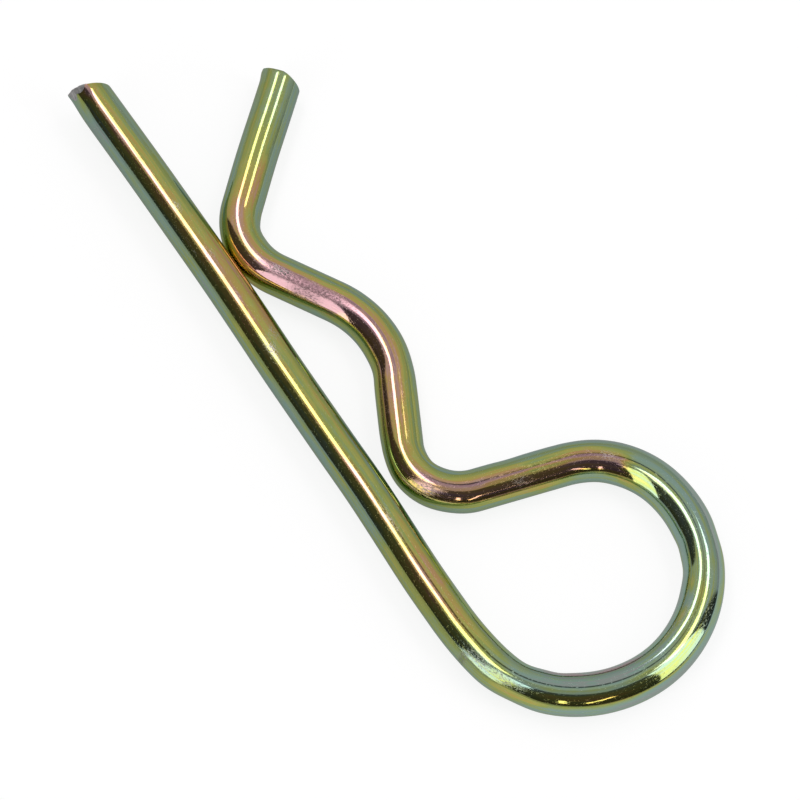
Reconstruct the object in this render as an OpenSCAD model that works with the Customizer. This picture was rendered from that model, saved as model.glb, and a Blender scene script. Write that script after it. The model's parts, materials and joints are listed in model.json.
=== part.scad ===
// Hitch clip (R clip) bent from one length of round spring wire.
// The straight leg goes through the cross hole of a pin. The wavy leg snaps over the pin.
// Millimetres. X runs along the straight leg, away from its tip. Y points to the wavy leg.
// Z points up. The pin's axis is the Z axis, and the clip lies on the plane Z = 0.
// Bend radii are measured to the wire's centreline.

/* [Wire] */
// Diameter of the round wire
wire_d = 4; // [3:0.1:5]

/* [Pin and its seat] */
// Diameter of the pin that the wavy leg closes on
pin_d = 15; // [12:0.5:17]
// Bend radius of the seat that hugs the pin
seat_r = 10.6; // [10:0.1:13]

/* [Straight leg] */
// Straight lead-in, from the tip to the slight bow under the front hump
lead_in = 18.8; // [12:0.1:40]
// Angle by which the front hump pushes the lead-in away from the wavy leg
bow_angle = 1.3; // [0.8:0.1:3]
// Bend radius of that bow
bow_r = 300; // [150:10:400]
// Height of the straight leg over the wavy leg where the front hump touches it
leg_lift = 1; // [0:0.1:1.5]

/* [Front hump and flared tip] */
// Bend radius of the hump that grips the straight leg
grip_r = 6.4; // [5:0.1:8]
// Gap left between hump and leg, so that the two never fuse
grip_gap = 0.05; // [0.02:0.01:0.5]
// Slope of the wire between the pin seat and the front hump
grip_slope = 30.7; // [24:0.1:36]
// Angle between the flared tip and the straight leg
flare_angle = 46.6; // [30:0.1:60]
// Straight length of the flared tip
flare_len = 14.2; // [8:0.1:20]

/* [Rear hump] */
// Bend radius of the hump behind the pin
rear_r = 5.3; // [4.5:0.1:6]
// Gap between the rear hump and the straight leg
rear_gap = 0.9; // [0.2:0.1:2]
// Slope of the wire between the rear hump and the pin seat
rear_slope = 26.3; // [22:0.1:34]

/* [Eye] */
// Slope of the wire between the eye and the rear hump
close_slope = 75.2; // [68:0.1:80]
// Bend radius of the crown, where the eye closes towards the rear hump
crown_r = 9.1; // [8:0.1:10.5]
// Direction of the wire where the crown starts
crown_from = 192; // [175:1:200]
// Main bend radius of the eye
eye_r = 12; // [11:0.1:16]
// Direction of the wire where the main bend starts
eye_from = 46; // [30:1:60]
// Bend radius of the neck, where the straight leg turns into the eye
neck_r = 10.3; // [9.5:0.1:12]
// Direction of the wire where the neck starts
neck_from = 10.8; // [6:0.1:16]
// Long radius that eases the straight leg into the neck
ease_r = 30; // [22:1:60]

/* [Cut ends] */
// Angle off square of the shear cut on the straight leg
shear_angle = 21; // [0:1:30]
// Distance of the broken corner's face from the centre of that cut
chip_reach = 1.5; // [1.4:0.05:1.9]
// Direction of the broken corner's face around Z, from the end of the leg
chip_turn = 58; // [40:1:75]
// Angle by which the broken corner's face looks up
chip_tip = 38; // [20:1:55]
// Angle of the bevel on the flared tip
bevel_angle = 21; // [10:1:30]
// Radius of the rolled edge round the flared tip
edge_roll = 0.4; // [0.2:0.05:0.8]

/* [Hidden] */
$fn = 96;
wire_r = wire_d / 2;

// Directions count from +X, turning left. A left bend has a radius above 0, a right bend below 0.
function along(dir) = [cos(dir), sin(dir)];
function left_of(dir) = [-sin(dir), cos(dir)];

// A bend is [centre, radius, direction in, direction out].
function bend_point(bend, dir) = bend[0] - bend[1] * left_of(dir);
function bend_start(bend) = bend_point(bend, bend[2]);
function bend_end(bend) = bend_point(bend, bend[3]);

// Run along the leg between the centres of two opposite bends, joined by a straight at a slope.
// rise is the difference of the centres' heights, and radii is the sum of the two radii.
function run_between(rise, radii, slope) = (radii - rise * cos(slope)) / sin(slope);

// Centre of the next bend of a compound curve: the two meet where the wire points in dir.
function next_centre(centre, from_r, to_r, dir) = centre + (to_r - from_r) * left_of(dir);

// Pin seat: its top lies one wire radius over the pin, which is centred on the straight leg.
seat_c = [0, pin_d / 2 + wire_r - seat_r];

// Front hump: one wire and a gap from the leg, measured on the slant that the lift makes.
grip_y = sqrt(pow(wire_d + grip_gap, 2) - pow(leg_lift, 2)) + grip_r;
grip_x = -run_between(grip_y - seat_c.y, grip_r + seat_r, grip_slope);

// Rear hump
rear_y = wire_d + rear_gap + rear_r;
rear_x = run_between(rear_y - seat_c.y, rear_r + seat_r, rear_slope);

// Eye, worked out from where the ease leaves the leg and then moved along to meet the rear hump
ease_0 = [0, ease_r];
neck_0 = next_centre(ease_0, ease_r, neck_r, neck_from);
eye_0 = next_centre(neck_0, neck_r, eye_r, eye_from);
crown_0 = next_centre(eye_0, eye_r, crown_r, crown_from);
crown_x = rear_x + run_between(rear_y - crown_0.y, rear_r + crown_r, close_slope);
eye_move = [crown_x - crown_0.x, 0];

bow = [[grip_x + bow_r * sin(bow_angle) / 2, -bow_r], -bow_r, bow_angle, 0];
ease = [ease_0 + eye_move, ease_r, 0, neck_from];
neck = [neck_0 + eye_move, neck_r, neck_from, eye_from];
eye_lower = [eye_0 + eye_move, eye_r, eye_from, 90];
eye_upper = [eye_0 + eye_move, eye_r, 90, crown_from];
crown = [crown_0 + eye_move, crown_r, crown_from, 180 + close_slope];
rear_hump = [[rear_x, rear_y], -rear_r, 180 + close_slope, 180 - rear_slope];
seat = [seat_c, seat_r, 180 - rear_slope, 180 + grip_slope];
front_hump = [[grip_x, grip_y], -grip_r, 180 + grip_slope, 180 - flare_angle];

leg_bends = [bow, ease, neck, eye_lower];
wavy_bends = [eye_upper, crown, rear_hump, seat, front_hump];

// The leg swings up about the eye's far end until it clears the front hump by leg_lift.
far_x = bend_end(eye_lower).x;
lift_angle = asin(leg_lift / (far_x - grip_x));

// Ball at each joint of the wire: a swell that gives a clean union and can't be felt
joint_swell = 0.01;
joint_spin = 45;

// Box that takes away everything past an end cut
cutter = 6 * wire_d;

// Ball inside the wire where two stretches meet, with its poles along the wire.
// It stands proud by joint_swell only, and its spin keeps its seam clear of theirs.
module joint(at, dir) {
    translate(at)
        rotate([0, 90, dir])
            rotate([0, 0, joint_spin])
                sphere(r = wire_r + joint_swell);
}

// Straight stretch between two points of the centreline. A compound curve has none.
module straight(from, to) {
    way = to - from;
    dir = atan2(way.y, way.x);
    if (norm(way) > 0.001) {
        joint(from, dir);
        translate(from)
            rotate([0, 90, dir])
                cylinder(h = norm(way), r = wire_r);
    }
}

// One bend: a part of a ring of wire
module bent(bend) {
    turns_left = bend[1] > 0;
    first = turns_left ? bend[2] - 90 : bend[3] + 90;
    translate(bend[0])
        rotate([0, 0, first])
            rotate_extrude(angle = abs(bend[3] - bend[2]))
                translate([abs(bend[1]), 0])
                    circle(r = wire_r);
}

// Bends in order, with a straight from each to the next
module bent_wire(bends) {
    for (bend = bends) {
        joint(bend_start(bend), bend[2]);
        bent(bend);
    }
    for (i = [1 : len(bends) - 1])
        straight(bend_end(bends[i - 1]), bend_start(bends[i]));
}

// Half space past a cut. Its face goes through the origin and looks along +X.
module past_cut() {
    translate([0, -cutter / 2, -cutter / 2])
        cube(cutter);
}

// Sheared end of the straight leg, with the cut's centre at the origin and the wire along -X
module sheared_end() {
    difference() {
        translate([-lead_in, 0, 0])
            rotate([0, 90, 0])
                cylinder(h = lead_in + wire_d, r = wire_r);
        rotate([0, 0, -shear_angle])
            past_cut();
        rotate([0, 0, chip_turn])
            rotate([0, -chip_tip, 0])
                translate([chip_reach, 0, 0])
                    past_cut();
    }
}

// Flared end: a square cut with a rolled edge and a bevel, from the bend at the origin along +X
module flared_end() {
    difference() {
        rotate([0, 90, 0])
            rotate_extrude() {
                square([wire_r, flare_len - edge_roll]);
                square([wire_r - edge_roll, flare_len]);
                translate([wire_r - edge_roll, flare_len - edge_roll])
                    circle(r = edge_roll, $fn = 48);
            }
        translate([flare_len, 0, 0])
            rotate([0, 0, -bevel_angle])
                past_cut();
    }
}

module straight_leg() {
    translate(bend_start(bow) - lead_in * along(bow_angle))
        rotate([0, 0, 180 + bow_angle])
            sheared_end();
    bent_wire(leg_bends);
}

module wavy_leg() {
    bent_wire(wavy_bends);
    joint(bend_end(front_hump), front_hump[3]);
    translate(bend_end(front_hump))
        rotate([0, 0, 180 - flare_angle])
            flared_end();
}

module clip() {
    color([0.56, 0.54, 0.28])
        translate([0, 0, wire_r]) {
            translate([far_x, 0, 0])
                rotate([0, lift_angle, 0])
                    translate([-far_x, 0, 0])
                        straight_leg();
            wavy_leg();
        }
}

clip();
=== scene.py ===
"""Hitch R clip: the dressed spring wire, its pale studio floor, lamps and camera.

The wire is one closed surface carried along a path of straights and bends. It stands for the
CAD clip. Metres throughout, in the CAD's frame: X runs along the straight leg away from its tip,
Y points to the wavy leg and Z points up. The clip lies on the plane Z = 0.
"""

import json
import math

import bpy
import numpy as np
from bpy.props import FloatProperty, FloatVectorProperty, PointerProperty
from mathutils import Matrix, Vector


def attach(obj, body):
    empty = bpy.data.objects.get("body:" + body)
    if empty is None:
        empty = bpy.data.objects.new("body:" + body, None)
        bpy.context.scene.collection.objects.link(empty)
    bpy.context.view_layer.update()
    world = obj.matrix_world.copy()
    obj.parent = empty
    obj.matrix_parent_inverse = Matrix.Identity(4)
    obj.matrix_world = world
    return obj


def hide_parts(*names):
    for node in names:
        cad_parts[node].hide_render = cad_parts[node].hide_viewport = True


bl_info = {
    "name": "Hitch R Clip",
    "version": (1, 0, 0),
    "blender": (4, 5, 0),
    "location": "View3D > Sidebar > Hitch Clip",
    "description": "Builds a hitch clip of iridescent plated spring wire in a plain studio",
    "category": "Object",
}

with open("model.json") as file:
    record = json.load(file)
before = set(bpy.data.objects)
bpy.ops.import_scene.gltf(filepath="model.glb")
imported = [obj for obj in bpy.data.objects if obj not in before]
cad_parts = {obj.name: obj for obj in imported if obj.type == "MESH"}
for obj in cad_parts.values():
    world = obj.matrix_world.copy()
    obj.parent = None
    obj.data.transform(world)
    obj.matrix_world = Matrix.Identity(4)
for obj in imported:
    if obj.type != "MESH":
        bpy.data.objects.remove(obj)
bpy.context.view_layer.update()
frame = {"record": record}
LEG_MOUNT = next(mount for mount in frame["record"]["mounts"] if mount["name"] == "straight_leg")
MM = 0.001


# ---- Sizes and colours that a user would change ----


def length(name, millimetres, text, low=0.0):
    """A length property, with its default given in millimetres."""
    return FloatProperty(
        name=name, description=text, default=millimetres * MM, min=low * MM, unit="LENGTH"
    )


def angle(name, degrees, text):
    """An angle property, with its default given in degrees."""
    return FloatProperty(
        name=name, description=text, default=math.radians(degrees), unit="ROTATION"
    )


def share(name, value, text, high=1.0):
    """A plain number property from 0 to high."""
    return FloatProperty(
        name=name, description=text, default=value, min=0.0, max=high, subtype="FACTOR"
    )


def colour(name, rgb, text):
    """A colour property."""
    return FloatVectorProperty(
        name=name, description=text, default=rgb, size=3, min=0.0, max=1.0, subtype="COLOR"
    )


class ClipWire(bpy.types.PropertyGroup):
    """Sizes that the wire is bent and cut to."""

    wire_diameter: length(
        "Wire diameter", 2 * LEG_MOUNT["dims"]["r_mm"], "Diameter of the spring wire", low=1
    )
    pin_diameter: length("Pin diameter", 15, "Diameter of the pin that the seat closes on")
    seat_radius: length("Seat radius", 10.6, "Bend radius of the pin seat")
    lead_in: length("Lead-in", 18.8, "Straight length from the tip to the bow of the leg")
    bow_angle: angle("Bow angle", 1.3, "Angle by which the front hump pushes the leg away")
    bow_radius: length("Bow radius", 300, "Bend radius of that bow")
    leg_lift: length("Leg lift", 1, "Height of the leg over the front hump")
    grip_radius: length("Front hump radius", 6.4, "Bend radius of the hump on the leg")
    grip_gap: length("Front hump gap", 0.05, "Gap between the front hump and the leg")
    grip_slope: angle("Front slope", 30.7, "Slope of the wire before the front hump")
    flare_angle: angle("Flare angle", 46.6, "Angle between the flared tip and the leg")
    flare_length: length("Flare length", 14.2, "Straight length of the flared tip")
    rear_radius: length("Rear hump radius", 5.3, "Bend radius of the hump behind the pin")
    rear_gap: length("Rear hump gap", 0.9, "Gap between the rear hump and the leg")
    rear_slope: angle("Rear slope", 26.3, "Slope of the wire between rear hump and seat")
    close_slope: angle("Closing slope", 75.2, "Slope of the wire from the eye to the rear hump")
    crown_radius: length("Crown radius", 9.1, "Bend radius where the eye closes")
    crown_from: angle("Crown start", 192, "Direction of the wire where the crown starts")
    eye_radius: length("Eye radius", 12, "Main bend radius of the eye")
    eye_from: angle("Eye start", 46, "Direction of the wire where the eye starts")
    neck_radius: length("Neck radius", 10.3, "Bend radius where the leg turns into the eye")
    neck_from: angle("Neck start", 10.8, "Direction of the wire where the neck starts")
    ease_radius: length("Ease radius", 30, "Long radius that eases the leg into the neck")
    shear_angle: angle("Shear angle", 21, "Angle off square of the cut on the straight leg")
    bevel_angle: angle("Bevel angle", 23.5, "Angle of the bevel on the flared tip")
    edge_roll: length("Edge roll", 0.4, "Radius of the rolled edge of the flared tip")


class ClipFinish(bpy.types.PropertyGroup):
    """Colours of the plated film, from thin to thick, and of the cut steel."""

    mauve: colour("Mauve", (0.48, 0.36, 0.38), "Film colour where it is thinnest")
    teal: colour("Teal", (0.32, 0.48, 0.41), "Film colour on the flanks")
    sage: colour("Sage", (0.37, 0.49, 0.28), "Film colour between flanks and top")
    olive: colour("Olive", (0.41, 0.49, 0.14), "Film colour beside the top")
    gold: colour("Gold", (0.55, 0.54, 0.145), "Film colour on the top")
    tan: colour("Tan", (0.61, 0.47, 0.13), "Film colour where it is thick")
    copper: colour("Copper", (0.66, 0.40, 0.17), "Film colour where it is thicker still")
    rose: colour("Rose", (0.68, 0.42, 0.33), "Film colour beside the thickest spots")
    plum: colour("Plum", (0.47, 0.28, 0.30), "Film colour where it is thickest")
    haze: colour("Haze", (0.52, 0.52, 0.48), "Colour where the film is worn")
    steel: colour("Cut steel", (0.60, 0.59, 0.58), "Bare steel of the cut end")
    gloss: share("Roughness", 0.062, "Roughness of the plating")


class ClipStudio(bpy.types.PropertyGroup):
    """Floor, lamps and camera."""

    floor_colour: colour("Floor", (0.93, 0.93, 0.93), "Colour of the pale floor")
    mirror_level: share("Mirrored level", 0.55, "Brightness of floor and backdrop in the metal", 2)
    dark_level: share("Dark side", 0.07, "Brightness of the room behind the camera", 2)
    softbox_level: share("Softbox level", 1.9, "Brightness of the two tall softboxes", 20)
    overhead_level: share("Overhead level", 2.7, "Brightness of the overhead lamps", 20)
    lamp_distance: length("Lamp distance", 600, "Distance of the lamps from the clip")
    lens: length("Lens", 172.07, "Focal length of the camera")
    sensor: length("Sensor", 36, "Width of the camera's sensor")
    camera_distance: length("Camera distance", 357.36, "Distance from camera to clip")
    camera_elevation: angle("Camera elevation", 65, "Angle of the camera above the floor")
    camera_azimuth: angle("Camera azimuth", 57.76, "Angle of the camera round the clip")


# ---- The path of the wire ----


def along(direction):
    """Unit vector in a direction counted from X, turning left."""
    return np.array([math.cos(direction), math.sin(direction)])


def left_of(direction):
    """Unit vector to the left of a direction."""
    return np.array([-math.sin(direction), math.cos(direction)])


def bend_point(bend, direction):
    """Point of a bend (centre, radius, start, end) where the wire points in a direction.

    It is the centre less the radius times the left-hand unit vector. A left bend has a radius
    above 0 and a right bend has one below 0.
    """
    return bend[0] - bend[1] * left_of(direction)


def run_between(rise, radii, slope):
    """Run between the centres of two opposite bends that a straight joins at a slope."""
    return (radii - rise * math.cos(slope)) / math.sin(slope)


def next_centre(centre, from_radius, to_radius, direction):
    """Centre of the next bend of a compound curve, met where the wire points in direction."""
    return centre + (to_radius - from_radius) * left_of(direction)


# The first bends belong to the straight leg and the eye's lower half, which swing up together
LEG_BENDS = 4


def clip_bends(w):
    """The nine bends in order from the straight leg's tip, each (centre, radius, start, end).

    The pin seat comes first, since it is centred on the pin. Each hump follows from the slope
    that leads to it, and the eye is moved along the leg until it meets the rear hump.
    """
    half_turn = math.pi
    wire_radius = w.wire_diameter / 2
    seat_centre = np.array([0.0, w.pin_diameter / 2 + wire_radius - w.seat_radius])
    grip_reach = math.sqrt((w.wire_diameter + w.grip_gap) ** 2 - w.leg_lift**2)
    grip_y = grip_reach + w.grip_radius
    grip_x = -run_between(grip_y - seat_centre[1], w.grip_radius + w.seat_radius, w.grip_slope)
    rear_y = w.wire_diameter + w.rear_gap + w.rear_radius
    rear_x = run_between(rear_y - seat_centre[1], w.rear_radius + w.seat_radius, w.rear_slope)

    ease = np.array([0.0, w.ease_radius])
    neck = next_centre(ease, w.ease_radius, w.neck_radius, w.neck_from)
    eye = next_centre(neck, w.neck_radius, w.eye_radius, w.eye_from)
    crown = next_centre(eye, w.eye_radius, w.crown_radius, w.crown_from)
    crown_run = run_between(rear_y - crown[1], w.rear_radius + w.crown_radius, w.close_slope)
    move = np.array([rear_x + crown_run - crown[0], 0.0])

    closing = half_turn + w.close_slope
    rear_down = half_turn - w.rear_slope
    seat_down = half_turn + w.grip_slope
    flare = half_turn - w.flare_angle
    bow_x = grip_x + w.bow_radius * math.sin(w.bow_angle) / 2
    return [
        (np.array([bow_x, -w.bow_radius]), -w.bow_radius, w.bow_angle, 0.0),
        (ease + move, w.ease_radius, 0.0, w.neck_from),
        (neck + move, w.neck_radius, w.neck_from, w.eye_from),
        (eye + move, w.eye_radius, w.eye_from, half_turn / 2),
        (eye + move, w.eye_radius, half_turn / 2, w.crown_from),
        (crown + move, w.crown_radius, w.crown_from, closing),
        (np.array([rear_x, rear_y]), -w.rear_radius, closing, rear_down),
        (seat_centre, w.seat_radius, rear_down, seat_down),
        (np.array([grip_x, grip_y]), -w.grip_radius, seat_down, flare),
    ]


class WirePath:
    """The centreline as a chain of stretches, each with a start, a direction and a curvature."""

    def __init__(self, w):
        bends = clip_bends(w)
        here = bend_point(bends[0], w.bow_angle) - w.lead_in * along(w.bow_angle)
        rows = []
        for bend in bends:
            _, radius, heading, leaving = bend
            start = bend_point(bend, heading)
            rows.append((here, heading, 0.0, math.dist(here, start)))
            rows.append((start, heading, 1 / radius, abs((leaving - heading) * radius)))
            here = bend_point(bend, leaving)
        rows.append((here, bends[-1][3], 0.0, w.flare_length))
        self.point, self.direction, self.curvature, run = (np.array(c) for c in zip(*rows))
        self.begin = np.concatenate([[0.0], np.cumsum(run)[:-1]])
        self.total = float(run.sum())
        self.leg_end = float(self.begin[2 * LEG_BENDS])
        self.radius = w.wire_diameter / 2
        self.far_x = float(bend_point(bends[LEG_BENDS - 1], math.pi / 2)[0])
        front_hump_x = bends[-1][0][0]
        self.lift = math.asin(w.leg_lift / (self.far_x - front_hump_x))

    def flat(self, s):
        """Plan points and directions at path lengths s.

        A stretch's chord is its length times the sinc of half its turn, along its mean direction.
        """
        k = np.clip(np.searchsorted(self.begin, s, side="right") - 1, 0, len(self.begin) - 1)
        d = s - self.begin[k]
        half = self.curvature[k] * d / 2
        chord = d * np.sinc(half / math.pi)
        mean = self.direction[k] + half
        x = self.point[k, 0] + chord * np.cos(mean)
        y = self.point[k, 1] + chord * np.sin(mean)
        return x, y, self.direction[k] + 2 * half

    def frames(self, s):
        """Centre, forward, left and up vectors at path lengths s, with the leg swung up."""
        x, y, way = self.flat(s)
        swing = np.where(s < self.leg_end, self.lift, 0.0)
        level, rise = np.cos(swing), -np.sin(swing)
        out, ahead = x - self.far_x, np.cos(way)
        centre = np.stack([self.far_x + out * level, y, self.radius + out * rise], axis=-1)
        forward = np.stack([ahead * level, np.sin(way), ahead * rise], axis=-1)
        left = np.cross([0.0, 0.0, 1.0], forward)
        left /= np.linalg.norm(left, axis=-1, keepdims=True)
        return centre, forward, left, np.cross(forward, left)


# ---- The wire's surface ----

# Points round the wire, and the step between its rings
AROUND = 96
RING_STEP = 0.27 * MM
# Rings of the cap at each end, and how many of them lie over its rolled rim
CAP_RINGS = 22
ROLL_RINGS = 8
# Length at each end over which the rings lean towards the cut
END_ZONE = 4 * MM
# Edges that turn by more than this stay sharp
SHARP_ANGLE = math.radians(32)


def hill(x, centre, width):
    """Smooth bump of height 1: a Gaussian of x about centre."""
    return np.exp(-(((x - centre) / width) ** 2))


def slope_step(x, low, high):
    """Smooth step from 0 at low to 1 at high."""
    t = np.clip((x - low) / (high - low), 0.0, 1.0)
    return t * t * (3 - 2 * t)


# Slight waves that straightening left in the wire: (place, sideways shift, reach), in mm
WAVES = (
    (10.0, 0.05, 7.0),
    (34.5, -0.055, 5.0),
    (49.0, 0.095, 4.5),
    (59.5, -0.095, 4.0),
    (86.5, -0.04, 3.0),
    (171.5, 0.1, 5.0),
)

# Flats that the tools pressed into the wire: (place, side, depth, reach), with the side in
# degrees round the wire from its left over its top, the rest in mm. The first one rolls the
# sheared edge over, and the last one swells the flared tip.
FLATS = (
    (0.0, 95, 0.14, 0.45),
    (0.4, 180, 0.15, 1.3),
    (72.8, 0, 0.18, 1.8),
    (72.8, 180, 0.18, 1.8),
    (76.2, 0, 0.12, 1.3),
    (97.0, 0, 0.15, 1.7),
    (99.8, 0, 0.09, 1.2),
    (99.8, 180, 0.09, 1.3),
    (112.5, 0, 0.05, 1.5),
    (115.0, 180, 0.06, 1.5),
    (121.0, 180, 0.06, 1.3),
    (127.0, 0, 0.08, 1.3),
    (130.2, 180, 0.09, 1.3),
    (133.0, 0, 0.13, 1.5),
    (142.0, 0, 0.08, 1.5),
    (142.0, 180, 0.05, 1.5),
    (163.0, 180, 0.12, 1.4),
    (179.9, 0, -0.1, 0.5),
)


def sideways(s):
    """Sideways shift of the centreline at path lengths s: a sum of small hills."""
    return sum(shift * MM * hill(s, place * MM, reach * MM) for place, shift, reach in WAVES)


def wire_radius(path, s, theta):
    """Radius of the wire at path length s and section angle theta.

    It is the plain radius less each flat: a hill along the wire times the squared cosine of the
    angle from the flat's side, on that side of the wire.
    """
    cut = 0.0
    for place, side, depth, reach in FLATS:
        near_side = np.clip(np.cos(theta - math.radians(side)), 0.0, 1.0) ** 2
        cut = cut + depth * MM * hill(s, place * MM, reach * MM) * near_side
    return path.radius - cut


# Two broken facets on the straight leg's end. Each is a plane: its reach beyond the cut at the
# middle of the wire in mm, and how fast it rises towards the right side and towards the top.
FACETS = ((6.5, -1.8, -3.0), (15.2, -7.3, -3.9))
# Straight leg's end: how far the cut drew it out, and the lip on its right half, which reaches
# its full height at a distance from the middle
TIP_REACH = 0.33 * MM
LIP_REACH = 0.2 * MM
LIP_WIDTH = 0.7 * MM
# Flared tip: how far the cut drew it out, the lip on its left side, and the share of the rolled
# rim that the lip takes away
FLARE_REACH = 0.26 * MM
FLARE_LIP = 0.40 * MM
LIP_SHARPNESS = 0.8


def sheared_height(w, across, up):
    """Reach of the straight leg's end beyond the plain end of the wire, over its section.

    across counts to the right. It is the lowest of the shear cut, which leans off square and has
    a drawn-out lip, and of the two broken facets.
    """
    lip = LIP_REACH * slope_step(across, 0.0, LIP_WIDTH)
    height = TIP_REACH + across * math.tan(w.shear_angle) + lip
    for reach, to_right, to_top in FACETS:
        height = np.minimum(height, reach * MM + to_right * across + to_top * up)
    return height


def flared_height(w, across, up):
    """Reach of the flared tip beyond the plain end of the wire, over its section.

    across counts to the left. It is the lower of a face with a rolled rim and a bevel on the
    right-hand half. The left side of the face rises to a small lip, where the rim is sharper.
    """
    radius = w.wire_diameter / 2
    rho = np.hypot(across, up)
    side = np.clip(across / radius, 0.0, 1.0)
    roll = w.edge_roll * (1 - LIP_SHARPNESS * side)
    over = np.clip(rho - (radius - roll), 0.0, roll)
    rolled = np.sqrt(np.maximum(roll**2 - over**2, 0.0)) - roll
    face = FLARE_REACH + rolled + FLARE_LIP * side**2
    return np.minimum(face, FLARE_REACH + across * math.tan(w.bevel_angle))


def cap_radii(w):
    """Radii of the cap's rings from rim to centre, close together over the rolled rim."""
    roll = np.linspace(0.0, math.pi / 2, ROLL_RINGS + 1)[1:]
    rim = w.wire_diameter / 2 - w.edge_roll * (1 - np.cos(roll))
    inner = np.linspace(rim[-1], 0.0, CAP_RINGS - ROLL_RINGS + 1)[1:]
    return np.concatenate([rim, inner])


def wire_surface(w):
    """The closed surface of the wire: section angles, points and unbent coordinates.

    Every point is the centreline's point at s, plus the radius times (cos theta to the left plus
    sin theta up). Near the two ends the rings slide along the wire until they meet the cuts, and
    each cut is filled with rings that shrink to its middle, at the height of the cut.
    """
    path = WirePath(w)
    theta = np.arange(AROUND) * (2 * math.pi / AROUND)
    s = np.linspace(0.0, path.total, int(path.total / RING_STEP))[:, None]
    radius = wire_radius(path, s, theta)
    near = cap_radii(w)[:, None] / path.radius

    # Section coordinates of every ring: across to the left, and up
    rho = np.concatenate([near[::-1] * radius[:1], radius, near * radius[-1:]])
    across = rho * np.cos(theta)
    up = rho * np.sin(theta)

    # Place of every point along the wire, which runs past both plain ends to meet the cuts
    caps = np.zeros((CAP_RINGS, 1))
    base = np.concatenate([caps, s, caps + path.total])
    to_start = 1 - slope_step(base, 0.0, END_ZONE)
    to_finish = slope_step(base, path.total - END_ZONE, path.total)
    before = sheared_height(w, -across, up) * to_start
    after = flared_height(w, across, up) * to_finish
    reach = base - before + after

    on_path = np.clip(reach, 0.0, path.total)
    centre, forward, left, upward = path.frames(on_path)
    beyond = (reach - on_path)[..., None]
    aside = (across + sideways(on_path))[..., None]
    points = centre + beyond * forward + aside * left + up[..., None] * upward
    unbent = np.stack([reach, across, up], axis=-1)

    # The first and the last row are single points, so each becomes a pole
    for rows in (points, unbent):
        rows[0] = rows[0].mean(axis=0)
        rows[-1] = rows[-1].mean(axis=0)
    return theta, points, unbent


def unroll(unbent, theta, radius):
    """Coordinates on the wire's skin laid flat: along the wire, and round it.

    The way round is the radius times theta, counted from -90 degrees, so that the seam lies
    underneath.
    """
    flat = np.zeros_like(unbent)
    flat[..., 0] = unbent[..., 0]
    flat[..., 1] = radius * ((theta + math.pi / 2) % (2 * math.pi) - math.pi / 2)
    return flat


def on_points(values):
    """Values of the rings' points in the mesh's order: all inner rings, then the two poles."""
    inner = values[1:-1].reshape((-1,) + values.shape[2:])
    return np.concatenate([inner, values[0, :1], values[-1, :1]])


def tube_mesh(name, points):
    """A closed mesh from rings of points whose first and last rings are single points.

    Each quad joins a point, its neighbour along the tube and the two beside them. The rings next
    to the poles close with fans of triangles.
    """
    rows, columns, _ = points.shape
    vertices = on_points(points)
    corner = np.arange((rows - 2) * columns).reshape(-1, columns)
    beside = np.roll(corner, -1, axis=1)
    quads = np.stack([corner[:-1], corner[1:], beside[1:], beside[:-1]], axis=-1)
    pole = np.full(columns, corner.size)
    first_fan = np.stack([pole, corner[0], beside[0]], axis=-1)
    last_fan = np.stack([pole + 1, beside[-1], corner[-1]], axis=-1)
    corners = np.concatenate([quads.ravel(), first_fan.ravel(), last_fan.ravel()])
    sizes = np.concatenate([np.full(quads.size // 4, 4), np.full(2 * columns, 3)])
    starts = np.cumsum(sizes) - sizes

    mesh = bpy.data.meshes.new(name)
    mesh.vertices.add(len(vertices))
    mesh.vertices.foreach_set("co", vertices.astype(np.float32).ravel())
    mesh.loops.add(len(corners))
    mesh.loops.foreach_set("vertex_index", corners.astype(np.int32))
    mesh.polygons.add(len(sizes))
    mesh.polygons.foreach_set("loop_start", starts.astype(np.int32))
    mesh.polygons.foreach_set("loop_total", sizes.astype(np.int32))
    mesh.update(calc_edges=True)
    if mesh.validate():
        raise RuntimeError("the wire's mesh has faces that don't close")
    return mesh


def sharpen_ring(mesh, row):
    """Marks the edges of one of the tube's rings as sharp, besides those already sharp."""
    ends = np.empty(2 * len(mesh.edges), dtype=np.int32)
    mesh.edges.foreach_get("vertices", ends)
    on_ring = (ends // AROUND == row - 1).reshape(-1, 2).all(axis=1)
    sharp = np.empty(len(mesh.edges), dtype=bool)
    mesh.edges.foreach_get("use_edge_sharp", sharp)
    mesh.edges.foreach_set("use_edge_sharp", sharp | on_ring)


def cut_faces(rows):
    """For each face of the tube, 1 on the cap of the straight leg's end and 0 elsewhere."""
    quads = np.repeat(np.arange(1, rows - 2) < CAP_RINGS, AROUND)
    return np.concatenate([quads, np.ones(AROUND), np.zeros(AROUND)]).astype(np.int32)


def store(mesh, name, values):
    """Puts numbers or vectors, given for each point of each ring, on the mesh under a name."""
    kind, key = ("FLOAT", "value") if values.ndim == 2 else ("FLOAT_VECTOR", "vector")
    layer = mesh.attributes.new(name, kind, "POINT")
    layer.data.foreach_set(key, on_points(values).astype(np.float32).ravel())


# ---- The film over the wire ----

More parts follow.
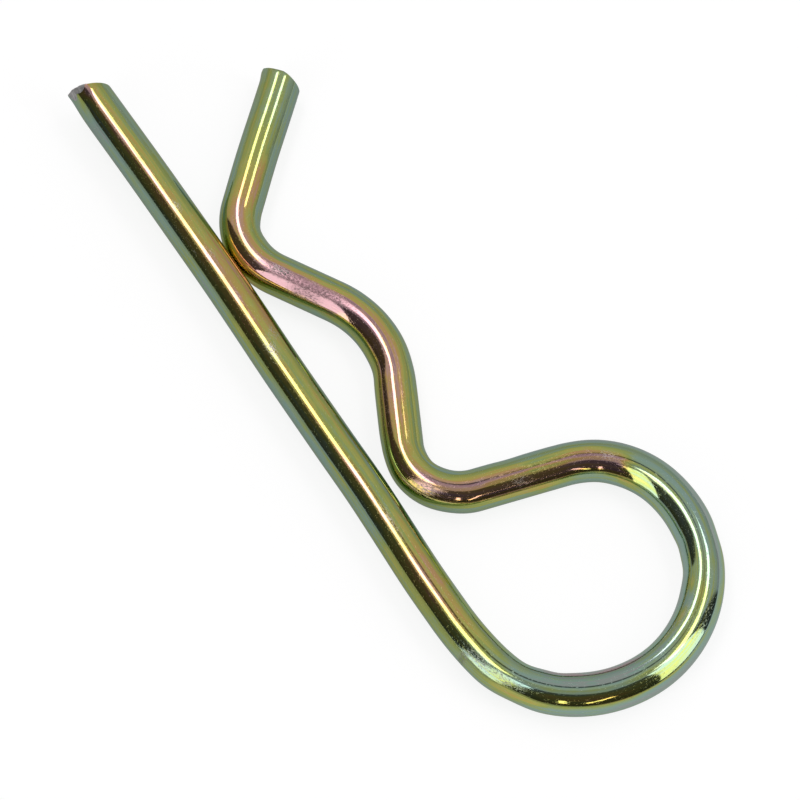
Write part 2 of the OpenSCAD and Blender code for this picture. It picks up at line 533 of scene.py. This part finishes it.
# The film along the wire: place in mm, thickness on the flanks and on the crest, and the crest's
# side and reach in degrees. The thin, teal film on the flanks is partly painted sheen: it stands
# in for the film's colour shift where the wire is seen at a grazing angle.
FILM_AND_SHEEN = (
    (0, 0.2, 0.52, 84, 42),
    (6, 0.2, 0.5, 84, 38),
    (14, 0.2, 0.56, 88, 38),
    (22, 0.22, 0.64, 84, 46),
    (30, 0.26, 0.64, 82, 48),
    (36, 0.22, 0.52, 88, 42),
    (44, 0.23, 0.5, 88, 42),
    (52, 0.22, 0.52, 90, 44),
    (60, 0.26, 0.82, 92, 48),
    (66, 0.25, 0.6, 88, 48),
    (70, 0.22, 0.36, 75, 40),
    (73, 0.22, 0.4, 150, 30),
    (76, 0.16, 0.42, 130, 26),
    (82, 0.14, 0.46, 130, 24),
    (86.5, 0.15, 0.33, 122, 30),
    (90.5, 0.15, 0.26, 100, 50),
    (100, 0.15, 0.24, 60, 50),
    (105, 0.16, 0.35, 60, 44),
    (109.2, 0.19, 0.4, 60, 44),
    (110.8, 0.18, 0.98, 70, 35),
    (114, 0.18, 0.97, 76, 36),
    (119, 0.22, 0.79, 52, 46),
    (124, 0.24, 0.86, 72, 50),
    (128.5, 0.22, 0.9, 65, 42),
    (132, 0.32, 0.7, 75, 50),
    (140, 0.32, 0.86, 76, 44),
    (146, 0.28, 0.96, 76, 42),
    (150, 0.26, 1.16, 66, 36),
    (156, 0.28, 1.16, 68, 36),
    (160, 0.3, 0.84, 66, 48),
    (165, 0.24, 0.8, 90, 42),
    (170, 0.2, 0.56, 95, 45),
    (175, 0.18, 0.4, 75, 60),
    (181, 0.17, 0.36, 70, 60),
)
# Spots where it is thicker or thinner: place in mm, side in degrees, change, and reach along the
# wire in mm and round it in degrees. Two of them are painted reflection: copper film where the
# straight leg and the front hump face each other, for the orange that each mirrors of the other.
FILM_AND_REFLECTION_SPOTS = (
    (0.1, 114, 0.34, 0.8, 20),
    (3, 101, 0.27, 8.0, 17),
    (14, 101, 0.22, 8.0, 17),
    (27, 101, 0.18, 7.0, 16),
    (37, 99, 0.18, 5.0, 12),
    (49, 99, 0.24, 7.0, 12),
    (29, 57, 0.1, 3.5, 12),
    (6, 62, -0.12, 5.0, 10),
    (25, 80, 0.14, 4.0, 12),
    (47, 55, -0.1, 4.0, 12),
    (1, 145, 0.12, 1.6, 20),
    (5, 150, -0.06, 2.0, 20),
    (10.5, 148, 0.08, 1.6, 18),
    (16, 150, -0.06, 2.0, 20),
    (21, 150, 0.1, 1.6, 18),
    # Painted reflection: copper film on the straight leg's side that faces the front hump
    (22.8, 10, 0.5, 3.8, 35),
    (24, 155, -0.1, 1.5, 20),
    (31, 147, 0.12, 4.0, 20),
    (47, 142, 0.08, 1.6, 16),
    (57.5, 148, 0.16, 3.0, 20),
    (61.2, 50, 0.2, 0.35, 20),
    (72, 160, 0.14, 2.5, 16),
    (79.5, 125, 0.14, 2.5, 12),
    (80, 38, -0.3, 4.6, 18),
    (88.5, 56, 0.14, 0.8, 8),
    (91, 57, 0.3, 1.1, 9),
    (93, 62, -0.16, 0.8, 9),
    (95, 57, 0.28, 1.0, 9),
    (94, 88, 0.2, 2.2, 12),
    (94.5, 158, 0.14, 4.0, 16),
    (109.5, 28, 0.3, 1.6, 14),
    (150.5, 32, 0.25, 0.6, 9),
    # Painted reflection: copper film on the front hump's side that faces the straight leg
    (160.3, -5, 0.45, 3.4, 30),
    (168, 122, 0.25, 2.8, 15),
)


def turned(theta, side):
    """Turn in degrees from a side to section angles theta, between -180 and 180."""
    return (np.degrees(theta) - side + 180.0) % 360.0 - 180.0


def spots(rows, s, theta, power):
    """Sum of spots over the wire, from rows of place, side, amount, reach along and round.

    Each adds its amount times exp(-(x to the power) - (y to the power)), where x and y are the
    distances along and round, over the spot's reaches. A high power gives firm edges.
    """
    total = np.zeros(np.broadcast(s, theta).shape)
    for place, side, amount, along_wire, round_wire in rows:
        x = (s / MM - place) / along_wire
        y = turned(theta, side) / round_wire
        total += amount * np.exp(-(x**power) - y**power)
    return total


def film_thickness_and_painted_light(s, theta):
    """Film thickness from 0 to 1 over the wire, before the fine streaks of the finish.

    From flank to crest it follows exp(-x cubed), where x is the turn from the crest over the
    crest's reach. The thin film on the flanks is partly painted sheen, for the film's colour shift
    at a grazing angle. Both run evenly between the places of the film's table, and its spots add
    to them. Two of the spots are painted reflection, of each leg in the other where they touch.
    """
    places, *columns = np.array(FILM_AND_SHEEN, dtype=float).T
    flank, crest, side, reach = (np.interp(s / MM, places, column) for column in columns)
    film = flank + (crest - flank) * np.exp(-np.abs(turned(theta, side) / reach) ** 3)
    return np.maximum(film + spots(FILM_AND_REFLECTION_SPOTS, s, theta, power=2), 0.0)


# Places where handling wore the film to a pale haze, in rows like those of the film's spots
WORN = (
    (15.5, 88, 0.5, 0.7, 12),
    (21.5, 84, 0.4, 0.8, 10),
    (19.5, 122, 0.6, 3.5, 3),
    (31.6, 62, 0.6, 0.8, 12),
    (33, 96, 0.9, 1.2, 16),
    (53.5, 90, 0.5, 2.0, 8),
    (67.8, 152, 0.8, 0.4, 24),
    (69.0, 122, 0.7, 1.2, 12),
    (72.5, 122, 0.4, 2.0, 12),
    (90.5, 62, 0.4, 3.2, 10),
    (93, 122, 0.4, 2.0, 10),
    (102, 62, 0.2, 3.5, 9),
    (112, 84, 0.5, 1.0, 14),
    (120.5, 55, 0.6, 1.0, 14),
    (128.7, 55, 0.5, 1.0, 14),
    (156.6, 82, 1.0, 0.9, 9),
)
# Patches of dull plating with firm edges, in the same rows, with the roughness that each adds.
# The same amounts darken the colour, which is painted shade.
DULL_AND_SHADE = (
    (153.6, 77, 0.33, 4.7, 13),
    (153.6, 48, 0.22, 1.7, 16),
    (117, 80, 0.14, 6.5, 14),
    (128.6, 57, 0.16, 1.6, 18),
    (71, 122, 0.1, 2.4, 16),
    (67.8, 155, 0.24, 0.35, 24),
)


# ---- Materials ----

# Patterns of grain on the wire: a grain's length and width in mm, detail, and a shift that sets
# the pattern apart
DRAWN_LINES = (18, 0.26, 2.0, 0.0)
FILM_STREAKS = (26, 0.62, 3.0, 7.0)
FILM_CLOUDS = (2.6, 1.8, 2.0, 3.0)
PITS = (0.24, 0.13, 1.0, 11.0)
STEEL_GRAIN = (0.5, 0.22, 4.0, 41.0)
# Two sets of scratches, each its angle off the wire's length in degrees and its pattern
SCRATCHES = ((-38, (1.6, 0.09, 1.0, 17.0)), (25, (1.6, 0.09, 1.0, 29.0)))

# Ranges of a pattern that give a mask from 0 to 1: flecks and scuffs from the pits, and scratches
FLECKS = (0.58, 0.72)
SCUFFS = (0.42, 0.60)
SCRATCH_CORE = (0.63, 0.70)
# Ranges with what they map to: how pits break up dull patches, how far scratches show as the film
# is worn, and how lines share out the roughness
DULL_BREAKS = (0.40, 0.60, 0.65, 1.2)
SCRATCHES_SHOW = (0.0, 0.4, 0.22, 0.9)
SHEEN = (0.3, 0.7, 0.7, 1.4)
# How the steel's grain maps to roughness
STEEL_SHEEN = (0.3, 0.7, 0.26, 0.46)
# Relief of the drawn lines and of the steel's grain, each its strength and its depth
LINE_RELIEF = (0.12, 0.02 * MM)
STEEL_RELIEF = (0.5, 0.06 * MM)

# How much streaks, clouds and lines change the film, and the share of it that always stays
FILM_SHARES = (0.70, 0.40, 0.70)
FILM_FLOOR = 0.6
# How worn a pit looks, and the roughness that pits and worn film add
PIT_WEAR = 0.12
PIT_ROUGHNESS = 0.17
WORN_ROUGHNESS = 0.35
# Dullness at which the film is darkest, and how dark it gets: painted shade on the dull patches
DULLEST = 0.35
DULL_PAINTED_SHADE = 0.55
# What the plating mirrors at a grazing angle
GRAZING_TINT = (0.76, 0.78, 0.76, 1.0)
# Darkest grain of the cut steel, as a share of its colour
GRAIN_SHADE = 0.55


def add(tree, kind, **settings):
    """A node of a kind with its settings. Names with a capital set inputs, others set options."""
    node = tree.nodes.new(kind)
    for key, value in settings.items():
        if key[0].isupper():
            node.inputs[key.replace("_", " ")].default_value = value
        else:
            setattr(node, key, value)
    return node


def join(tree, *pairs):
    """Links each output to its input."""
    for source, target in pairs:
        tree.links.new(source, target)


def ramped(tree, value, stops):
    """Colour of a ramp over a value. Each stop is (place, rgb)."""
    node = add(tree, "ShaderNodeValToRGB")
    band = node.color_ramp
    while len(band.elements) > 1:
        band.elements.remove(band.elements[-1])
    band.elements[0].position = stops[0][0]
    band.elements[0].color = (*stops[0][1], 1.0)
    for place, rgb in stops[1:]:
        band.elements.new(place).color = (*rgb, 1.0)
    join(tree, (value, node.inputs["Fac"]))
    return node.outputs["Color"]


def new_group(name, inputs, output):
    """An empty node group with its input and output nodes. Each socket is (name, type)."""
    group = bpy.data.node_groups.new(name, "ShaderNodeTree")
    for label, kind in inputs:
        group.interface.new_socket(label, in_out="INPUT", socket_type="NodeSocket" + kind)
    group.interface.new_socket(output[0], in_out="OUTPUT", socket_type="NodeSocket" + output[1])
    return group, add(group, "NodeGroupInput"), add(group, "NodeGroupOutput")


def film_colours(finish):
    """Group: the plating's colour from the film's thickness, which is partly painted sheen, its
    wear, and the painted shade that darkens its dull patches.
    """
    sockets = [("Film", "Float"), ("Worn", "Float"), ("Dull", "Float")]
    group, source, result = new_group("film_colours", sockets, ("Color", "Color"))
    f = finish
    thin = [(0.0, f.mauve), (0.14, f.teal), (0.30, f.sage), (0.44, f.olive), (0.58, f.gold)]
    thick = [(0.70, f.tan), (0.80, f.copper), (0.90, f.rose), (1.0, f.plum)]
    plated = ramped(group, source.outputs["Film"], thin + thick)
    # Painted shade: the dull patches darken the colour
    shade = between(group, source.outputs["Dull"], 0.0, DULLEST, 1.0, DULL_PAINTED_SHADE)
    shaded = add(group, "ShaderNodeVectorMath", operation="SCALE")
    worn = add(group, "ShaderNodeMix", data_type="RGBA")
    worn.inputs["B"].default_value = (*finish.haze, 1.0)
    join(
        group,
        (source.outputs["Worn"], worn.inputs["Factor"]),
        (plated, worn.inputs["A"]),
        (worn.outputs["Result"], shaded.inputs[0]),
        (shade, shaded.inputs["Scale"]),
        (shaded.outputs[0], result.inputs["Color"]),
    )
    return group


def attribute(tree, name, output="Fac"):
    """Output of an attribute that the wire's mesh carries."""
    return add(tree, "ShaderNodeAttribute", attribute_name=name).outputs[output]


def wire_grain():
    """Group: noise on the wire, read at the place times the grains per metre, plus a shift."""
    sockets = [("Place", "Vector"), ("Rate", "Vector"), ("Shift", "Vector"), ("Detail", "Float")]
    group, source, result = new_group("wire_grain", sockets, ("Grain", "Float"))
    space = add(group, "ShaderNodeVectorMath", operation="MULTIPLY_ADD")
    noise = add(group, "ShaderNodeTexNoise", Scale=1.0, Roughness=0.6)
    join(
        group,
        *zip((source.outputs[name] for name in ("Place", "Rate", "Shift")), space.inputs),
        (space.outputs[0], noise.inputs["Vector"]),
        (source.outputs["Detail"], noise.inputs["Detail"]),
        (noise.outputs["Fac"], result.inputs["Grain"]),
    )
    return group


def patterned(tree, grain, place, pattern):
    """Places the grain group with a pattern's values, read at a place on the wire."""
    length_mm, width_mm, detail, shift = pattern
    node = add(tree, "ShaderNodeGroup", node_tree=grain, Shift=(shift,) * 3, Detail=detail)
    node.inputs["Rate"].default_value = (1000 / length_mm, 1000 / width_mm, 1000 / width_mm)
    join(tree, (place, node.inputs["Place"]))
    return node.outputs["Grain"]


def between(tree, value, low, high, to_low=0.0, to_high=1.0, gain=1.0, smooth=False):
    """Maps a value from one range to another, times a gain, and holds it at the ends."""
    ends = {"From_Min": low, "From_Max": high, "To_Min": gain * to_low, "To_Max": gain * to_high}
    node = add(tree, "ShaderNodeMapRange", **ends)
    if smooth:
        node.interpolation_type = "SMOOTHSTEP"
    join(tree, (value, node.inputs["Value"]))
    return node.outputs["Result"]


def combine(tree, operation, *values):
    """A maths node over sockets and numbers."""
    node = add(tree, "ShaderNodeMath", operation=operation)
    for socket, value in zip(node.inputs, values):
        if isinstance(value, (int, float)):
            socket.default_value = value
        else:
            join(tree, (value, socket))
    return node.outputs[0]


def chain(tree, operation, first, *rest):
    """Applies a maths node of two values to one value after another."""
    for value in rest:
        first = combine(tree, operation, first, value)
    return first


def facing(tree, way, direction):
    """Dot product of a socket's vector and a fixed direction."""
    dot = add(tree, "ShaderNodeVectorMath", operation="DOT_PRODUCT")
    dot.inputs[1].default_value = direction
    join(tree, (way, dot.inputs[0]))
    return dot.outputs["Value"]


def scratch_lines(tree, grain, turn, pattern):
    """Thin slanted scratches: grain drawn out along a direction on the wire's flat skin."""
    slant = add(tree, "ShaderNodeVectorRotate", rotation_type="Z_AXIS")
    slant.inputs["Angle"].default_value = math.radians(turn)
    join(tree, (attribute(tree, "unrolled", "Vector"), slant.inputs["Vector"]))
    return between(tree, patterned(tree, grain, slant.outputs["Vector"], pattern), *SCRATCH_CORE)


def new_metal(name):
    """A new metallic material, with its node tree and its shader."""
    material = bpy.data.materials.new(name)
    material.use_nodes = True
    shader = material.node_tree.nodes["Principled BSDF"]
    shader.inputs["Metallic"].default_value = 1.0
    return material, material.node_tree, shader


def dress_metal(tree, shader, base, rough, height, relief):
    """Joins a metal's colour, its roughness, and a height with the strength of its relief."""
    bump = add(tree, "ShaderNodeBump", Strength=relief[0], Distance=relief[1])
    join(
        tree,
        (base, shader.inputs["Base Color"]),
        (rough, shader.inputs["Roughness"]),
        (height, bump.inputs["Height"]),
        (bump.outputs["Normal"], shader.inputs["Normal"]),
    )


def plated_wire(finish, grain):
    """Iridescent plating: the film's thickness sets its colour, partly as painted sheen on the
    flanks; drawn lines set its roughness.
    """
    material, tree, shader = new_metal("plated_wire")
    unbent = attribute(tree, "unbent", "Vector")
    # Film thickness, partly painted sheen: the thin, teal film on the flanks stands in for the
    # film's colour shift at a grazing angle, and two spots are painted reflection where the legs
    # touch
    film = attribute(tree, "film")
    wear = attribute(tree, "worn")

    # Long lines left by drawing, streaks and clouds in the film, and pits. The pits show as
    # flecks, and they break up the worn and the dull patches.
    patterns = (DRAWN_LINES, FILM_STREAKS, FILM_CLOUDS, PITS)
    lines, streaks, clouds, pits = (patterned(tree, grain, unbent, row) for row in patterns)
    flecks = between(tree, pits, *FLECKS)
    scuffs = between(tree, pits, *SCUFFS)
    # Dull patches: rougher plating, whose darkening of the colour is painted shade
    dull = combine(tree, "MULTIPLY", attribute(tree, "dull"), between(tree, pits, *DULL_BREAKS))

    # Each pattern swings about a half, so half of their shares comes off again
    drift = film
    for pattern, part in zip((streaks, clouds, lines), FILM_SHARES):
        drift = combine(tree, "MULTIPLY_ADD", pattern, part, drift)
    thickness = combine(tree, "SUBTRACT", drift, sum(FILM_SHARES) / 2)
    thickness = combine(tree, "MAXIMUM", thickness, combine(tree, "MULTIPLY", film, FILM_FLOOR))

    # Scratches show most where the film is worn
    scratched = chain(tree, "MAXIMUM", *(scratch_lines(tree, grain, *row) for row in SCRATCHES))
    rubbed = chain(
        tree,
        "MAXIMUM",
        combine(tree, "MULTIPLY", flecks, PIT_WEAR),
        combine(tree, "MULTIPLY", wear, scuffs),
        combine(tree, "MULTIPLY", scratched, between(tree, wear, *SCRATCHES_SHOW)),
    )
    colours = add(tree, "ShaderNodeGroup", node_tree=film_colours(finish))
    join(
        tree,
        (thickness, colours.inputs["Film"]),
        (rubbed, colours.inputs["Worn"]),
        (dull, colours.inputs["Dull"]),
    )

    rough = combine(tree, "ADD", between(tree, lines, *SHEEN, gain=finish.gloss), dull)
    rough = combine(tree, "MULTIPLY_ADD", rubbed, WORN_ROUGHNESS, rough)
    rough = combine(tree, "MULTIPLY_ADD", flecks, PIT_ROUGHNESS, rough)
    dress_metal(tree, shader, colours.outputs["Color"], rough, lines, LINE_RELIEF)
    shader.inputs["Specular Tint"].default_value = GRAZING_TINT
    return material


def cut_steel(finish, grain):
    """Bare sheared steel of the straight leg's end: a grain sets its colour and its sheen."""
    material, tree, shader = new_metal("cut_steel")
    facets = patterned(tree, grain, attribute(tree, "unbent", "Vector"), STEEL_GRAIN)
    dim = tuple(GRAIN_SHADE * channel for channel in finish.steel)
    base = ramped(tree, facets, [(0.36, dim), (0.64, finish.steel)])
    rough = between(tree, facets, *STEEL_SHEEN)
    dress_metal(tree, shader, base, rough, facets, STEEL_RELIEF)
    return material


# ---- Operators ----


def link(name, data):
    """A new object of the scene at the origin."""
    thing = bpy.data.objects.new(name, data)
    bpy.context.scene.collection.objects.link(thing)
    return thing


class HITCHCLIP_OT_wire(bpy.types.Operator):
    """Build the bent spring wire with its plated finish"""

    bl_idname = "hitchclip.wire"
    bl_label = "Spring wire"

    def execute(self, context):
        w = context.scene.clip_wire
        finish = context.scene.clip_finish
        theta, points, unbent = wire_surface(w)
        s = unbent[..., 0]
        mesh = tube_mesh("spring_wire", points)
        layers = {
            "unbent": unbent,
            "unrolled": unroll(unbent, theta, w.wire_diameter / 2),
            # Film thickness, with painted sheen on the flanks and painted reflection where the
            # legs touch
            "film": film_thickness_and_painted_light(s, theta),
            # Dull patches, whose darkening of the colour is painted shade
            "dull": spots(DULL_AND_SHADE, s, theta, power=4),
            "worn": np.clip(spots(WORN, s, theta, power=2), 0.0, 1.0),
        }
        for name, values in layers.items():
            store(mesh, name, values)
        grain = wire_grain()
        mesh.materials.append(plated_wire(finish, grain))
        mesh.materials.append(cut_steel(finish, grain))
        mesh.polygons.foreach_set("material_index", cut_faces(len(points)))
        mesh.shade_smooth()
        mesh.set_sharp_from_angle(angle=SHARP_ANGLE)
        sharpen_ring(mesh, CAP_RINGS)
        wire = link("spring_wire", mesh)
        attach(wire, "root")
        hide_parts("clip")
        return {"FINISHED"}


# The floor as the camera sees it: a grey that takes the shadow, and a glow that makes it white
FLOOR_GREY = (0.22, 0.22, 0.22, 1.0)
FLOOR_GLOW = 0.90
# The floor as the metal mirrors it: its grey, the brightness that the lamps give it, and the
# stretch to the front right over which its glow rises by a gain. That way is given by its parts
# to the picture's right and away.
MIRRORED_GREY = (0.30, 0.30, 0.30, 1.0)
LAMPS_ON_FLOOR = 0.27
NEAR_SIDE = (12 * MM, 45 * MM)
NEAR_GAIN = 1.6
NEAR_WAY = (0.77, -0.64)
FLOOR_HALF = 3.0
FLOOR_DROP = 0.02 * MM

# Edges of the pale ceiling and the pale backdrop. Each is a plane through the clip, pale where
# a to the picture's right, plus b away from the camera, plus c up is above zero: (a, b, c).
CEILING_EDGES = ((0.0, 1.0, 0.36), (1.0, 0.0, 0.57), (-0.66, 0.75, 0.43))
BACKDROP_EDGES = ((-0.20, 0.98, 0.0), (0.42, 0.91, 0.0))
EDGE_SOFTNESS = 0.03
# Dark opening in the ceiling: its direction in the same parts, and the angles from it at which
# the ceiling is whole and at which the opening is darkest
OPENING = (0.04, 0.33, 1.0)
OPENING_EDGE = 0.09
OPENING_CORE = 0.06
OPENING_LEVEL = 0.25
# Ranges of height with what they map to: the backdrop's level, and the dark room's
BACKDROP_RISE = (0.05, 0.65, 0.92, 1.3)
DARK_RISE = (0.2, 0.95, 0.6, 1.5)
# Pale band along the horizon: its range of height, and how it falls towards the right
HORIZON = (0.16, 0.08)
HORIZON_FALL = 0.09

# Tints of the overhead strips and of the front lamps, and the front lamps' gain on the softboxes
COOL = (1.0, 0.96, 1.0)
WARM = (1.0, 0.9, 0.72)
FRONT_GAIN = 1.4
# Point that the camera looks at
CAMERA_AIM = (0.006617, 0.007766, 0.00202)


def studio_axes(studio):
    """Unit vectors of the studio: to the picture's right, away from the camera, and up."""
    turn = studio.camera_azimuth
    right = Vector((math.cos(turn), math.sin(turn), 0.0))
    return right, Vector((-right.y, right.x, 0.0)), Vector((0.0, 0.0, 1.0))


def hang_lamp(name, size, level, place, axes, tint):
    """A rectangular lamp of a size, at a place, whose light leaves against its third axis.

    level is its brightness as seen in the metal. It isn't seen by the camera.
    """
    lamp = bpy.data.lights.new(name, "AREA")
    lamp.shape = "RECTANGLE"
    lamp.size, lamp.size_y = size
    lamp.energy = level * math.pi * size[0] * size[1]
    lamp.color = tint
    thing = link(name, lamp)
    thing.matrix_world = Matrix.Translation(place) @ Matrix(axes).transposed().to_4x4()
    thing.visible_camera = False


def standing_lamp(studio, name, level, turn, half_width, rise, roll=0.0, tint=(1.0, 1.0, 1.0)):
    """A softbox that stands round the clip and faces it.

    turn counts from the picture's right, turning left. rise is the pair of angles above the
    floor between which it is seen, and roll leans it to its left. All are in degrees.
    """
    right, away, up = studio_axes(studio)
    turn, half_width, roll = (math.radians(a) for a in (turn, half_width, roll))
    outward = math.cos(turn) * right + math.sin(turn) * away
    distance = studio.lamp_distance
    foot, top = (distance * math.tan(math.radians(a)) for a in rise)
    size = (2 * distance * math.tan(half_width), (top - foot) / math.cos(roll))
    place = distance * outward + (top + foot) / 2 * up
    tall = math.cos(roll) * up + math.sin(roll) * up.cross(outward)
    hang_lamp(name, size, level, place, (tall.cross(outward), tall, outward), tint)


def overhead_lamp(studio, name, level, across, away_from, tint):
    """A flat strip overhead, between two slopes to the right and two away from the camera."""
    right, away, up = studio_axes(studio)
    height = studio.lamp_distance
    size = (height * (across[1] - across[0]), height * (away_from[1] - away_from[0]))
    place = height * (sum(across) / 2 * right + sum(away_from) / 2 * away + up)
    hang_lamp(name, size, level, place, (right, away, up), tint)


def bare_tree(data):
    """The emptied node tree of a material or a world."""
    data.use_nodes = True
    data.node_tree.nodes.clear()
    return data.node_tree


def show_by_ray(tree, output, mirrored, seen):
    """Shows one shader to the camera and the other to the metal and the rest."""
    out = add(tree, output)
    rays = add(tree, "ShaderNodeLightPath")
    pick = add(tree, "ShaderNodeMixShader")
    join(
        tree,
        (rays.outputs["Is Camera Ray"], pick.inputs["Fac"]),
        (mirrored, pick.inputs[1]),
        (seen, pick.inputs[2]),
        (pick.outputs[0], out.inputs["Surface"]),
    )


def glowing_body(tree, grey, glow):
    """A grey body plus a glow."""
    body = add(tree, "ShaderNodeBsdfDiffuse", Color=grey)
    both = add(tree, "ShaderNodeAddShader")
    join(tree, (body.outputs[0], both.inputs[0]), (glow.outputs[0], both.inputs[1]))
    return both.outputs[0]


def floor_material(studio):
    """Pale floor: white to the camera with a soft shadow, a calmer level in the metal."""
    material = bpy.data.materials.new("pale_floor")
    tree = bare_tree(material)
    white = (*studio.floor_colour, 1.0)
    seen_glow = add(tree, "ShaderNodeEmission", Color=white, Strength=FLOOR_GLOW)
    seen = glowing_body(tree, FLOOR_GREY, seen_glow)

    right, away, _ = studio_axes(studio)
    place = add(tree, "ShaderNodeTexCoord").outputs["Object"]
    front_right = facing(tree, place, NEAR_WAY[0] * right + NEAR_WAY[1] * away)
    level = studio.mirror_level - LAMPS_ON_FLOOR
    near_side = between(tree, front_right, *NEAR_SIDE, 1.0, NEAR_GAIN, gain=level, smooth=True)
    mirrored_glow = add(tree, "ShaderNodeEmission")
    join(tree, (near_side, mirrored_glow.inputs["Strength"]))
    mirrored = glowing_body(tree, MIRRORED_GREY, mirrored_glow)
    show_by_ray(tree, "ShaderNodeOutputMaterial", mirrored, seen)
    return material


def studio_world(studio):
    """Room light: a pale ceiling and backdrop that meet, and a dark room round the camera."""
    world = bpy.data.worlds.new("studio_room")
    bpy.context.scene.world = world
    tree = bare_tree(world)
    way = add(tree, "ShaderNodeTexCoord").outputs["Generated"]
    right, away, up = studio_axes(studio)

    def towards(parts):
        """Unit direction from its parts to the right, away and up."""
        return (parts[0] * right + parts[1] * away + parts[2] * up).normalized()

    def inside(edges):
        """1 on the pale side of every edge, and 0 past any of them."""
        sides = (facing(tree, way, towards(edge)) for edge in edges)
        soft = (between(tree, side, -EDGE_SOFTNESS, EDGE_SOFTNESS, smooth=True) for side in sides)
        return chain(tree, "MINIMUM", *soft)

    height = facing(tree, way, up)
    rising = between(tree, height, *BACKDROP_RISE)
    backdrop = combine(tree, "MULTIPLY", inside(BACKDROP_EDGES), rising)
    tilted = facing(tree, way, up + HORIZON_FALL * right)
    horizon = between(tree, tilted, *HORIZON, smooth=True)
    pale = chain(tree, "MAXIMUM", inside(CEILING_EDGES), backdrop, horizon)
    edge, core = math.cos(OPENING_EDGE), math.cos(OPENING_CORE)
    closed = between(tree, facing(tree, way, towards(OPENING)), edge, core, 1.0, OPENING_LEVEL)
    lit = chain(tree, "MULTIPLY", pale, closed, studio.mirror_level)
    dark = between(tree, height, *DARK_RISE, gain=studio.dark_level)

    room = add(tree, "ShaderNodeBackground")
    white = add(tree, "ShaderNodeBackground", Strength=1.0, Color=(1.0, 1.0, 1.0, 1.0))
    join(tree, (combine(tree, "MAXIMUM", lit, dark), room.inputs["Strength"]))
    show_by_ray(tree, "ShaderNodeOutputWorld", room.outputs[0], white.outputs[0])


def lay_floor(studio):
    """The pale floor, a hair below the clip."""
    corners = ((-1, -1), (1, -1), (1, 1), (-1, 1))
    mesh = bpy.data.meshes.new("pale_floor")
    vertices = [(x * FLOOR_HALF, y * FLOOR_HALF, -FLOOR_DROP) for x, y in corners]
    mesh.from_pydata(vertices, [], [(0, 1, 2, 3)])
    mesh.materials.append(floor_material(studio))
    floor = link("pale_floor", mesh)


def hang_lamps(studio):
    """Two tall softboxes, two overhead strips and two small warm lamps in front."""
    soft, strong = studio.softbox_level, studio.overhead_level
    standing_lamp(studio, "softbox_left", soft, 226, half_width=14, rise=(9, 66), roll=5)
    standing_lamp(studio, "softbox_right", soft, -18, half_width=16, rise=(7, 64), roll=8)
    overhead_lamp(studio, "overhead_left", strong, (-0.39, -0.15), (-0.15, 0.86), COOL)
    overhead_lamp(studio, "overhead_right", strong, (0.40, 0.64), (-0.10, 0.55), COOL)
    warm = FRONT_GAIN * soft
    standing_lamp(studio, "front_left", warm, 269, half_width=2.2, rise=(20, 34), tint=WARM)
    standing_lamp(
        studio, "front_right", warm, 289, half_width=2.0, rise=(21, 33), roll=45, tint=WARM
    )


def set_camera(studio):
    """The camera, which looks down on the clip at its elevation."""
    right, away, up = studio_axes(studio)
    lean = studio.camera_elevation
    back = math.sin(lean) * up - math.cos(lean) * away
    camera = bpy.data.cameras.new("camera")
    camera.lens = studio.lens / MM
    camera.sensor_width = studio.sensor / MM
    camera.clip_start = 0.01
    camera.clip_end = 20.0
    thing = link("camera", camera)
    spot = Vector(CAMERA_AIM) + studio.camera_distance * back
    turned_to_clip = Matrix((right, back.cross(right), back)).transposed().to_4x4()
    thing.matrix_world = Matrix.Translation(spot) @ turned_to_clip
    bpy.context.scene.camera = thing


class HITCHCLIP_OT_stage(bpy.types.Operator):
    """Build the pale floor, the lamps and the camera"""

    bl_idname = "hitchclip.stage"
    bl_label = "Studio stage"

    def execute(self, context):
        studio = context.scene.clip_studio
        lay_floor(studio)
        hang_lamps(studio)
        studio_world(studio)
        context.scene.view_settings.view_transform = "Standard"
        set_camera(studio)
        return {"FINISHED"}


class HITCHCLIP_PT_panel(bpy.types.Panel):
    """Lists the pieces of the clip and its stage"""

    bl_label = "Hitch Clip"
    bl_idname = "HITCHCLIP_PT_panel"
    bl_space_type = "VIEW_3D"
    bl_region_type = "UI"
    bl_category = "Hitch Clip"

    def draw(self, context):
        for operator in OPERATORS:
            self.layout.operator(operator.bl_idname)


GROUPS = {"clip_wire": ClipWire, "clip_finish": ClipFinish, "clip_studio": ClipStudio}
OPERATORS = (HITCHCLIP_OT_wire, HITCHCLIP_OT_stage)


def register():
    """Registers the classes and hangs the property groups on the scene."""
    for name, group in GROUPS.items():
        bpy.utils.register_class(group)
        setattr(bpy.types.Scene, name, PointerProperty(type=group))
    for piece in (*OPERATORS, HITCHCLIP_PT_panel):
        bpy.utils.register_class(piece)


def unregister():
    """Takes away what register adds."""
    for piece in (HITCHCLIP_PT_panel, *reversed(OPERATORS)):
        bpy.utils.unregister_class(piece)
    for name, group in GROUPS.items():
        delattr(bpy.types.Scene, name)
        bpy.utils.unregister_class(group)


def main():
    """Builds everything in order."""
    register()
    bpy.ops.hitchclip.wire()
    bpy.ops.hitchclip.stage()


if __name__ == "__main__":
    main()
